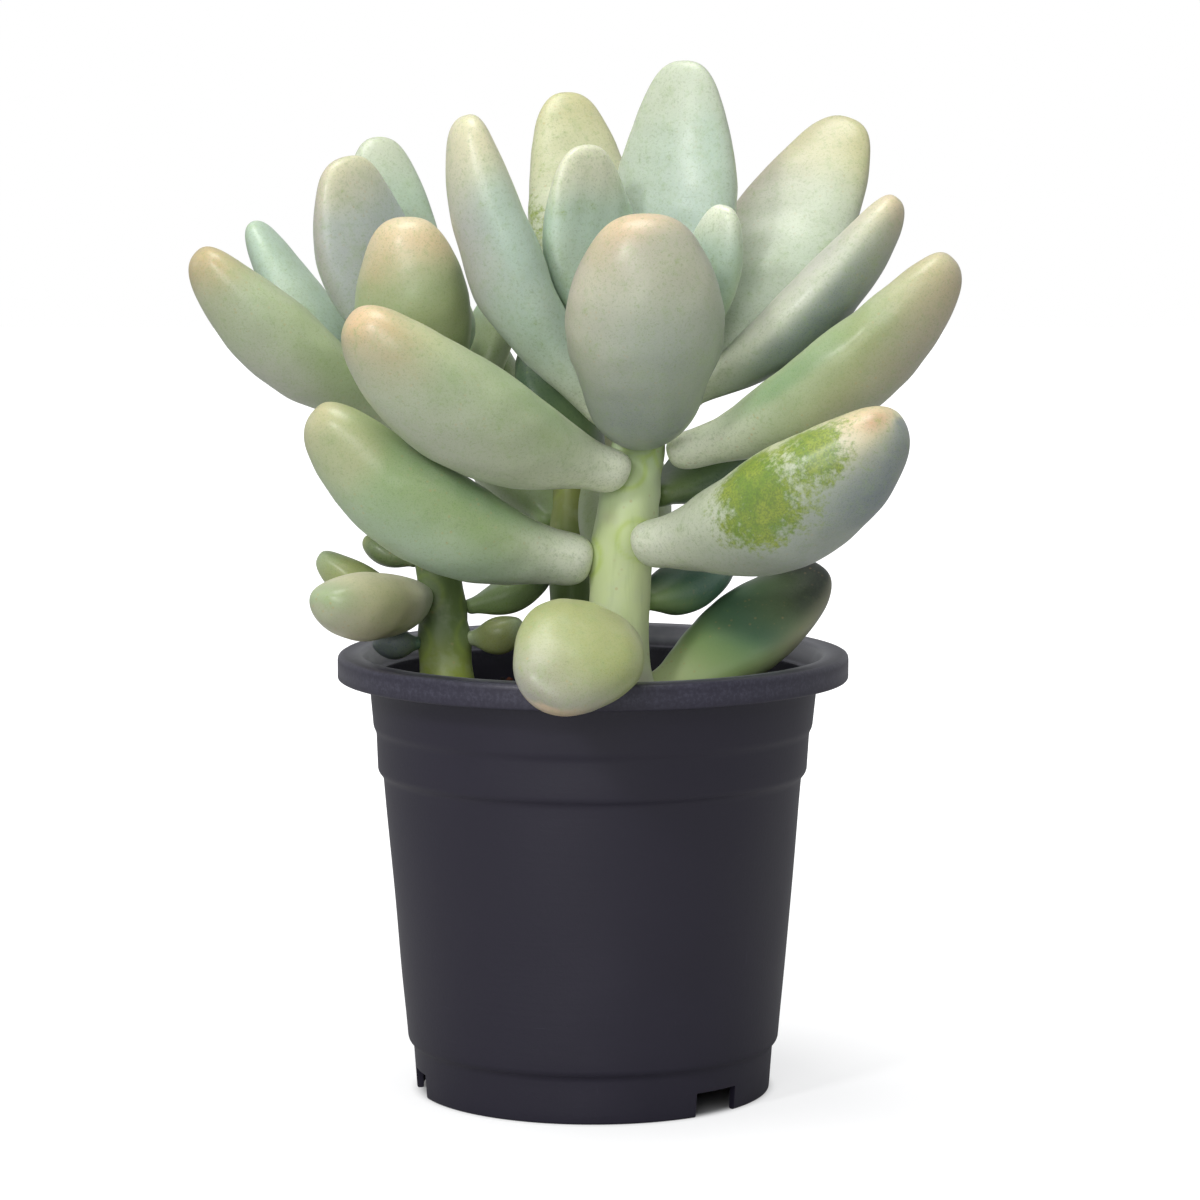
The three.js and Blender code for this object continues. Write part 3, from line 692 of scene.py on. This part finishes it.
feet = {name: [leaf["poles"][0] for key, leaf in leaves.items() if key.split("_")[1] == name]
        for name in STEM_NAMES}
print("leaf feet on each stem", {name: len(found) for name, found in feet.items()})

# %% [markdown]
# ## The stems' colours
# The tall front stem is young and pale: lime green, bluer near the top, and yellow green in the
# collars. The left one is older and dark, with a vivid foot. The back one is dark all over. The
# blend along the height is painted on the points, and the finish adds fine lengthwise streaks.

# %% Paint and place the stems
STEM_COATS = {
    # Painted light: the main stem's foot is milk, standing for light on the foot where the drooping leaf
    # shades it.
    "main": ("milk", "celery", "stem_blue", "lime", 0.5, 0.5),
    "left": ("sun", "moss", "sage", "sage", 0.3, 0.2),
    "back": ("moss", "moss", "olive", "olive", 0.4, 0.2),
}


def stem_skin(name):
    """Smooth green skin with faint lengthwise streaks and small tan pores."""
    skin = Finish(name, 0.45, Subsurface_Weight=0.1, Subsurface_Scale=0.003,
                  Subsurface_Radius=(0.7, 1.0, 0.4), Specular_IOR_Level=0.42)
    streaks = skin.noise(1.0, 4.0, 0.6, skin.stretched(620.0, 620.0, 60.0))
    clouds = skin.noise(150.0, 4.0, 0.6)
    grain = skin.noise(1100.0, 2.0, 0.6)
    streaked = skin.mix(0.2 * streaks.between(0.5, 0.75), skin.painted("coat", "Color"), PALETTE["leaf"])
    dusted = skin.mix(0.28 * clouds.between(0.45, 0.7), streaked, PALETTE["pearl"])
    pores = (1 - skin.cells(430.0).between(0.08, 0.2)) * clouds.between(0.45, 0.6)
    skin.link("Base Color", skin.mix(0.4 * pores, dusted, PALETTE["tan"]))
    skin.link("Roughness", 0.4 + 0.15 * clouds)
    skin.bump(streaks * 0.8 + grain * 0.4, 0.00015, 0.5)
    return skin.material


stem_finish = {"stem_skin": stem_skin("stem_skin"), "stem_skin_dark": stem_skin("stem_skin_dark")}
for seed, name in enumerate(STEM_NAMES):
    top = stem_middles[name][-1, 2]
    scars = scar_places(name, 5, SOIL_TOP + 0.004, top - 0.012, 40 + seed)
    points, collar, scar = stem_grid(name, feet[name], scars, 900 + 10 * seed)
    foot, middle, tip, joint, strength, line = STEM_COATS[name]
    share = (points[..., 2] - SOIL_TOP) / (top - SOIL_TOP) + 0.05 * ripple(points, 0.02, 7)
    paint = blend(PALETTE[foot], PALETTE[middle], step(share, 0.02, 0.22))
    paint = blend(paint, PALETTE[tip], step(share, 0.45, 0.95))
    paint = blend(paint, PALETTE[joint], strength * collar)
    paint = blend(paint, PALETTE["spring"], line * hump(collar, 0.42, 0.09))
    paint = blend(paint, PALETTE["tan"], 0.15 * scar)
    slot = slot_of[f"stem_{name}"]
    ends = (stem_rings[name][0][0], stem_rings[name][-1][0])
    mesh = closed_skin(f"stem_{name}_skin", points, ends, dict(coat=paint))
    place_piece(f"stem_{name}_skin", mesh, stem_finish[slot], [f"stem_{name}"])
    print("stem", name, "top at", round(float(top), 4))

# %% [markdown]
# ## The pot
# A nursery pot is blown or pressed thin, so it has no sharp edges: every step is a soft shoulder.
# Its section is drawn as straight lines, each corner is rounded by its own radius, and the line
# is turned about the pot's axis. Long stretches get extra rows, so that the shading of the
# rounded corners doesn't spread across them.

# %% Draw the pot's section
# Each corner is a radius, a height and the rounding there, in millimetres.
FLOOR_UNDER = [(0.0, 5.6, 0.0), (35.6, 5.6, 0.5)]
FOOT = [(35.2, 0.0, 0.5), (36.6, 0.0, 0.5), (37.3, 9.4, 0.9)]
WALL_OUTSIDE = [(38.4, 10.6, 0.9), (43.2, 65.6, 0.9)]
COLLARS = [(44.3, 66.8, 0.9), (44.7, 74.8, 0.9), (45.3, 76.0, 0.9), (46.2, 85.5, 0.6)]
SKIRT = [(47.7, 88.7, 0.5), (51.2, 88.7, 0.6), (51.2, 85.8, 0.4), (52.6, 85.8, 0.5)]
LIP = [(52.6, 91.0, 1.3), (47.5, 91.0, 0.8), (45.4, 86.8, 0.4)]
COLLARS_INSIDE = [(44.6, 86.6, 0.4), (44.6, 85.2, 0.4), (43.9, 76.0, 0.9), (43.3, 74.8, 0.9),
                  (42.9, 66.8, 0.9)]
WALL_INSIDE = [(41.8, 65.6, 0.9), (37.0, 10.6, 0.9)]
FLOOR_OVER = [(35.8, 7.1, 0.5), (0.0, 7.1, 0.0)]
SECTION = (FLOOR_UNDER + FOOT + WALL_OUTSIDE + COLLARS + SKIRT
           + LIP + COLLARS_INSIDE + WALL_INSIDE + FLOOR_OVER)
POT_COLUMNS = 240


def rounded(section, arc=5, longest=2.4):
    """The section with each corner replaced by a short curve that starts and ends its radius away,
    or less on a short side, and with long sides cut into even stretches."""
    corners = np.array(section)[:, :2]
    radii = np.array(section)[:, 2]
    line = [corners[:1]]
    for before, corner, after, radius in zip(corners[:-2], corners[1:-1], corners[2:], radii[1:-1]):
        back, on = before - corner, after - corner
        reach = min(radius, 0.45 * np.linalg.norm(back), 0.45 * np.linalg.norm(on))
        start = corner + back / np.linalg.norm(back) * reach
        end = corner + on / np.linalg.norm(on) * reach
        t = np.linspace(0, 1, arc)[:, None]
        line.append((1 - t) ** 2 * start + 2 * t * (1 - t) * corner + t ** 2 * end)
    line = np.concatenate(line + [corners[-1:]])
    gaps = np.linalg.norm(np.diff(line, axis=0), axis=1)
    pieces = [a + (b - a) * np.linspace(0, 1, 1 + math.ceil(gap / longest))[:-1, None]
              for a, b, gap in zip(line[:-1], line[1:], gaps)]
    return np.concatenate(pieces + [line[-1:]])


section = rounded(SECTION)
ring_out = circle(POT_COLUMNS)
pot_points = (section[1:-1, 0, None, None] * ring_out[None] + section[1:-1, 1, None, None] * (0, 0, 1)) * MM
soft = 0.10 * ripple(pot_points, 0.03, 5) * step(pot_points[..., 2], 0.012, 0.03)
pot_points = pot_points + soft[..., None] * MM * ring_out[None]
pot_foot = np.array([pot_middle[0], pot_middle[1], 0.0])
ends = [np.array([0, 0, z * MM]) + pot_foot for z in section[[0, -1], 1]]
pot_mesh = closed_skin("pot_skin", pot_points + pot_foot, ends)
print("pot rows", len(section), "CAD radius", round(float(pot_high[0] - pot_low[0]) / 2, 4))

# %% [markdown]
# ## Drain slots and holes
# Water leaves through round holes in the raised floor and then through slots in the foot ring. On
# the real pot they are open in the mould. Here cutters are taken away from the turned shape, and
# the result is kept as a plain mesh, so that no modifier is left on the pot.

# %% Cut the slots and holes
def cutter(turn_by, distance, size, sides=4):
    """A straight block, or a round bar with many sides, that stands at a distance from the axis."""
    if sides == 4:
        outline = np.array([(-1, -1), (1, -1), (1, 1), (-1, 1)]) / 2 * np.array(size[:2])
    else:
        outline = circle(sides)[:, :2] * size[0] / 2
    outline = outline + (distance, 0)
    cosine, sine = math.cos(math.radians(turn_by)), math.sin(math.radians(turn_by))
    flat = outline @ np.array([[cosine, sine], [-sine, cosine]])
    low, high = size[2]
    corners = np.concatenate([np.c_[flat, np.full(sides, low)], np.c_[flat, np.full(sides, high)]])
    n = np.arange(sides)
    walls = np.stack([n, (n + 1) % sides, (n + 1) % sides + sides, n + sides], axis=1).tolist()
    return corners * MM + pot_foot, walls + [list(range(sides))[::-1], list(range(sides, 2 * sides))]


SLOTS, SLOT_AZIMUTH, SLOT_WIDTH, SLOT_HEIGHT = 3, -47, 10.8, 5.0
SLOT_CIRCLE, SLOT_DEPTH, BELOW_FOOT = 36.6, 9.0, -3.0
DRAIN_HOLES, HOLE_WIDTH, HOLE_CIRCLE = 6, 6.8, 24.0
HOLE_SIDES, HOLE_HEIGHTS = 32, (4.0, 9.0)
SHARP_FROM = 40
slot_size = (SLOT_DEPTH, SLOT_WIDTH, (BELOW_FOOT, SLOT_HEIGHT))
hole_size = (HOLE_WIDTH, HOLE_WIDTH, HOLE_HEIGHTS)
cutters = [cutter(SLOT_AZIMUTH + 360 / SLOTS * k, SLOT_CIRCLE, slot_size) for k in range(SLOTS)]
cutters += [cutter(360 / DRAIN_HOLES * k, HOLE_CIRCLE, hole_size, HOLE_SIDES) for k in range(DRAIN_HOLES)]
pot = added("pot_skin", pot_mesh)
tools = []
for k, (corners, faces) in enumerate(cutters):
    block = bpy.data.meshes.new(f"cutter_{k}")
    block.from_pydata(corners.tolist(), [], faces)
    tool = added(f"cutter_{k}", block)
    cut = pot.modifiers.new(f"cut_{k}", "BOOLEAN")
    cut.operation, cut.solver, cut.object = "DIFFERENCE", "EXACT", tool
    tools.append(tool)
cut_mesh = bpy.data.meshes.new_from_object(pot.evaluated_get(bpy.context.evaluated_depsgraph_get()))
pot.modifiers.clear()
bpy.data.objects.remove(pot)
for tool in tools:
    bpy.data.objects.remove(tool)
cut_mesh.name = "pot_skin"
cut_mesh.materials.clear()
cut_mesh.set_sharp_from_angle(angle=math.radians(SHARP_FROM))
print("pot faces before", len(pot_mesh.polygons), "after", len(cut_mesh.polygons))

# %% [markdown]
# ## Black plastic
# The plastic is charcoal with a breath of purple. Handling polishes it slightly on the corners
# that stand out, where it looks greyer, and leaves thin scuffs and a film of dust on the wall.
# How close each point is to such a corner is worked out from its radius and height. The bevel inside the
# lip is smoother, and a pale band on it is a painted highlight: the glint of light on that bevel.

# %% Make and place the pot
CORNERS = np.array([(52.6, 91.0), (52.6, 88.0), (50.0, 91.0), (47.5, 91.0), (44.6, 86.6)])
BORDER_HEIGHTS, BORDER_RADII = [0, 85, 88.5, 91], [36.2, 45.4, 46.4, 48.6]
BEVEL_MIDDLE, BEVEL_SPREAD = 89.3, 1.4
places = np.empty(len(cut_mesh.vertices) * 3, np.float32)
cut_mesh.vertices.foreach_get("co", places)
places = (places.reshape(-1, 3) - pot_foot) / MM
radius_height = np.stack([np.hypot(places[:, 0], places[:, 1]), places[:, 2]], axis=1)
off = np.linalg.norm(radius_height[:, None] - CORNERS[None], axis=2)
paint_points(cut_mesh, "worn", hump(off, 0, 1.8).max(axis=1)[:, None])
within = np.interp(radius_height[:, 1], BORDER_HEIGHTS, BORDER_RADII) - radius_height[:, 0]
# Painted highlight: a band round the bevel inside the lip, where light glints.
bevel = step(within, -0.5, 0.5) * hump(radius_height[:, 1], BEVEL_MIDDLE, BEVEL_SPREAD)
paint_points(cut_mesh, "inside", bevel[:, None])

plastic = Finish("pot_plastic", 0.45, Specular_IOR_Level=0.5)
charcoal, dusty, polished = colour("1b1728"), colour("262233"), colour("565565")
film = plastic.noise(26.0, 5.0, 0.6)
scuffs = plastic.noise(1.0, 4.0, 0.6, plastic.stretched(60.0, 60.0, 900.0))
scratches = plastic.noise(1.0, 3.0, 0.6, plastic.stretched(900.0, 900.0, 45.0))
pebble = plastic.noise(1500.0, 2.0, 0.5)
worn = plastic.painted("worn")
base = plastic.mix(0.35 * film.between(0.42, 0.75), charcoal, dusty)
speckle = plastic.noise(1300.0, 3.0, 0.7)
lip = plastic.mix(worn * (0.2 + 0.3 * speckle.between(0.4, 0.7)), base, polished)
# Painted highlight: the bevel's band is blended toward near white, standing for the glint of light there.
glint = plastic.painted("inside") * (0.4 + 0.6 * film.between(0.4, 0.6))
lip_with_glint = plastic.mix(glint, lip, colour("dcdce8"))
marks = 0.25 * scratches.between(0.68, 0.78) * film.between(0.5, 0.7) + 0.15 * scuffs.between(0.7, 0.8)
plastic.link("Base Color", plastic.mix(marks, lip_with_glint, polished))
plastic.link("Roughness", 0.42 + 0.16 * film - 0.1 * worn - 0.16 * plastic.painted("inside"))
plastic.bump(pebble * 0.3 + scuffs * 0.35 + film * 0.8, 0.0002, 0.35)
place_piece("pot_skin", cut_mesh, plastic.material, ["pot"])
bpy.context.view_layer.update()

# %% [markdown]
# ## Potting mix
# Potting mix is peat with bits of bark. From above it is a lumpy field with crumbs on it. The field
# is a disc whose height is a low mound plus unevenness at several sizes, and it closes below as
# a plug that fills the pot. The crumbs are one mesh: a rough twenty-sided lump, copied to many
# places, each with its own size, squash and turn, all worked out at once.

# %% Lay the soil
soil_low, soil_high = (np.array(corner, float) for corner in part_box("soil"))
SOIL_RADIUS = float(soil_high[0] - soil_low[0]) / 2
MOUND = 2.5 * MM
SOIL_EDGE = float(soil_high[2]) - MOUND
SOIL_ROWS, SOIL_COLUMNS = 100, 200
CLODS = ((0.7, 0.016), (0.5, 0.007), (0.35, 0.0035), (0.2, 0.0018))
PLUG_SIDE = np.array([(43.5, 76.0), (42.4, 67.0), (41.3, 65.0), (36.5, 11.0), (35.3, 7.5)]) * MM
PLUG_BOTTOM = 0.0075


def soil_height(across_points):
    """The height of the soil at places across the pot: a low mound, and clods of four sizes."""
    r = np.linalg.norm(across_points[..., :2] - pot_middle[:2], axis=-1) / SOIL_RADIUS
    clods = sum(size * ripple(across_points, wave, 60 + k, 9) for k, (size, wave) in enumerate(CLODS))
    return SOIL_EDGE + MOUND * (1 - r ** 2) + (clods - 0.3) * MM * step(1.04 - r, 0, 0.06)


out = circle(SOIL_COLUMNS)[:, :2]
reach = SOIL_RADIUS * np.sqrt(np.linspace(0.0002, 0.995, SOIL_ROWS))
top_points = np.zeros((SOIL_ROWS, SOIL_COLUMNS, 3))
top_points[..., :2] = pot_middle[:2] + reach[:, None, None] * out[None]
top_points[..., 2] = soil_height(top_points)
side_points = np.zeros((len(PLUG_SIDE), SOIL_COLUMNS, 3))
side_points[..., :2] = pot_middle[:2] + PLUG_SIDE[:, 0, None, None] * out[None]
side_points[..., 2] = PLUG_SIDE[:, 1, None]
soil_poles = (top_points[0].mean(axis=0), np.array([pot_middle[0], pot_middle[1], PLUG_BOTTOM]))
soil_mesh = closed_skin("soil_skin", np.concatenate([top_points, side_points]), soil_poles)
print("soil edge at", round(SOIL_EDGE, 4), "radius", round(SOIL_RADIUS, 4))

# %% Scatter the crumbs
GOLDEN = (1 + math.sqrt(5)) / 2
LUMP = np.array([np.roll((side, up * GOLDEN, 0), axis)
                 for axis in range(3) for up in (1, -1) for side in (-1, 1)])
LUMP_FACES = np.array([(0, 11, 5), (0, 5, 1), (0, 1, 7), (0, 7, 10), (0, 10, 11),
                       (1, 5, 9), (5, 11, 4), (11, 10, 2), (10, 7, 6), (7, 1, 8),
                       (3, 9, 4), (3, 4, 2), (3, 2, 6), (3, 6, 8), (3, 8, 9),
                       (4, 9, 5), (2, 4, 11), (6, 2, 10), (8, 6, 7), (9, 8, 1)])
CRUMBS = 1500


def turned_at_random(count, dice):
    """A turn for each crumb, as a matrix made from a random unit quaternion."""
    w, x, y, z = dice.normal(size=(4, count))
    length = np.sqrt(w * w + x * x + y * y + z * z)
    w, x, y, z = w / length, x / length, y / length, z / length
    rows = [1 - 2 * (y * y + z * z), 2 * (x * y - w * z), 2 * (x * z + w * y),
            2 * (x * y + w * z), 1 - 2 * (x * x + z * z), 2 * (y * z - w * x),
            2 * (x * z - w * y), 2 * (y * z + w * x), 1 - 2 * (x * x + y * y)]
    return np.stack(rows, axis=1).reshape(count, 3, 3)


dice = np.random.default_rng(11)
lumps = LUMP / np.linalg.norm(LUMP[0]) * dice.uniform(0.72, 1.12, (CRUMBS, 12, 1))
size = (0.45 + 1.5 * dice.random(CRUMBS) ** 3) * MM
squash = dice.uniform(0.35, 1.0, (CRUMBS, 3))
turns = turned_at_random(CRUMBS, dice)
lumps = np.einsum("nij,nkj->nki", turns, lumps * squash[:, None]) * size[:, None, None]
far = 0.96 * SOIL_RADIUS * np.sqrt(dice.random(CRUMBS))
bearing = dice.uniform(0, 2 * math.pi, CRUMBS)
spots = np.stack([pot_middle[0] + far * np.cos(bearing), pot_middle[1] + far * np.sin(bearing),
                  np.zeros(CRUMBS)], axis=1)
spots[:, 2] = soil_height(spots) + 0.2 * size
crumb_points = (lumps + spots[:, None]).reshape(-1, 3)
crumb_faces = (LUMP_FACES[None] + 12 * np.arange(CRUMBS)[:, None, None]).reshape(-1, 3)
crumb_mesh = bpy.data.meshes.new("soil_crumbs")
crumb_mesh.from_pydata(crumb_points.tolist(), [], crumb_faces.tolist())
kinds = np.array([colour("1c1512"), colour("2b1c15"), colour("5a2f20"), colour("8a7a66")])
kind = dice.choice(4, CRUMBS, p=[0.45, 0.32, 0.2, 0.03])
paint_points(crumb_mesh, "coat", np.repeat(kinds[kind], 12, axis=0))
print("crumbs", CRUMBS, "faces", len(crumb_faces))

# %% [markdown]
# ## The look of soil
# Damp peat is almost black, and each bit of bark has its own brown. Both finishes break up the
# colour with fine noise and stay rough, so that only a few wet grains catch the light.

# %% Make and place the soil
peat = Finish("peat", 0.9, Specular_IOR_Level=0.25)
clumps, specks = peat.noise(240.0, 5.0, 0.65), peat.noise(1400.0, 3.0, 0.7)
dark = peat.mix(clumps.between(0.4, 0.65), colour("0e0b0a"), colour("231914"))
peat.link("Base Color", peat.mix(0.5 * specks.between(0.6, 0.75), dark, colour("4a2e20")))
peat.link("Roughness", 0.75 + 0.25 * specks)
peat.bump(clumps + specks * 0.5, 0.0006, 0.8)
place_piece("soil_skin", soil_mesh, peat.material, ["soil"])

bark = Finish("bark_crumbs", 0.85, Specular_IOR_Level=0.25)
fibres = bark.noise(1.0, 3.0, 0.6, bark.stretched(1400.0, 1400.0, 500.0))
flecks = bark.noise(700.0)
brown = bark.mix(0.6 * fibres.between(0.4, 0.7), bark.painted("coat", "Color"), colour("15100e"))
bark.link("Base Color", brown)
bark.link("Roughness", 0.7 + 0.25 * flecks)
bark.bump(fibres + flecks, 0.0003, 0.7)
place_piece("soil_crumbs", crumb_mesh, bark.material)

# %% [markdown]
# ## The floor and the light
# The picture is a plain one: a white floor, a soft light above, a small one high at the front left,
# a soft one in front, and an even fill from all round. The camera sees the surroundings as pure
# white, while what lights the plant is dimmer, so that the leaves keep their shading. The floor
# glows for the camera alone: not inside the foot, partly near the pot, and fully further away.

# %% Lay the floor
FLOOR_HALF = 3.0
floor_mesh = bpy.data.meshes.new("floor")
floor_mesh.from_pydata([(-FLOOR_HALF, -FLOOR_HALF, 0), (FLOOR_HALF, -FLOOR_HALF, 0),
                        (FLOOR_HALF, FLOOR_HALF, 0), (-FLOOR_HALF, FLOOR_HALF, 0)], [], [(0, 1, 2, 3)])
paper = Finish("white_paper", 0.9, Emission_Strength=1.0)
fibre = paper.noise(400.0, 2.0)
paper.link("Base Color", paper.mix(0.06 * fibre, (0.46, 0.46, 0.465), (0.4, 0.4, 0.405)))
centre = (float(pot_middle[0]), float(pot_middle[1]), 0.0)
away = paper.node("ShaderNodeVectorMath", dict(operation="DISTANCE"), {0: paper.place, 1: centre}, "Value")
seen_share = paper.node("ShaderNodeLightPath", out="Is Camera Ray")
glow = (0.66 + 0.36 * away.between(0.12, 0.55)) * away.between(0.0335, 0.0385)
paper.link("Emission Color", paper.mix(seen_share * glow, (0, 0, 0), (1, 1, 1)))
floor_mesh.materials.append(paper.material)
floor = added("floor", floor_mesh)

# %% Set the lights
world = bpy.data.worlds.new("studio")
bpy.context.scene.world = world
world.use_nodes = True
tree = world.node_tree
fill = tree.nodes["Background"]
seen = tree.nodes.new("ShaderNodeBackground")
for sky, tint, strength in ((fill, (0.96, 0.98, 1.0, 1.0), 0.52), (seen, (1.0, 1.0, 1.0, 1.0), 1.0)):
    sky.inputs["Color"].default_value = tint
    sky.inputs["Strength"].default_value = strength
path = tree.nodes.new("ShaderNodeLightPath")
choose = tree.nodes.new("ShaderNodeMixShader")
for k, output in enumerate((path.outputs["Is Camera Ray"], fill.outputs[0], seen.outputs[0])):
    tree.links.new(output, choose.inputs[k])
tree.links.new(choose.outputs[0], tree.nodes["World Output"].inputs[0])


def soft_light(name, place, aim, size, power, tint):
    """A square soft light at a place, turned to face a point."""
    lamp = bpy.data.lights.new(name, "AREA")
    lamp.size, lamp.energy, lamp.color = size, power, tint
    light = added(name, lamp)
    heading = np.array(aim, float) - np.array(place, float)
    flat = math.hypot(heading[0], heading[1])
    light.location = place
    swing = math.atan2(heading[1], heading[0]) - math.pi / 2
    light.rotation_euler = (math.atan2(flat, -heading[2]), 0, swing)
    print("light", name, "power", power)


soft_light("top", (-0.12, -0.05, 1.05), (0.0, 0.0, 0.15), 0.5, 5.9, (1.0, 0.985, 0.96))
soft_light("key", (-0.45, -0.65, 0.62), (0.0, 0.0, 0.15), 0.11, 2.4, (1.0, 1.0, 1.0))
soft_light("front", (-0.25, -1.1, 0.45), (0.0, 0.0, 0.13), 0.5, 3.5, (1.0, 1.0, 1.0))
bpy.context.scene.view_settings.view_transform = "Standard"
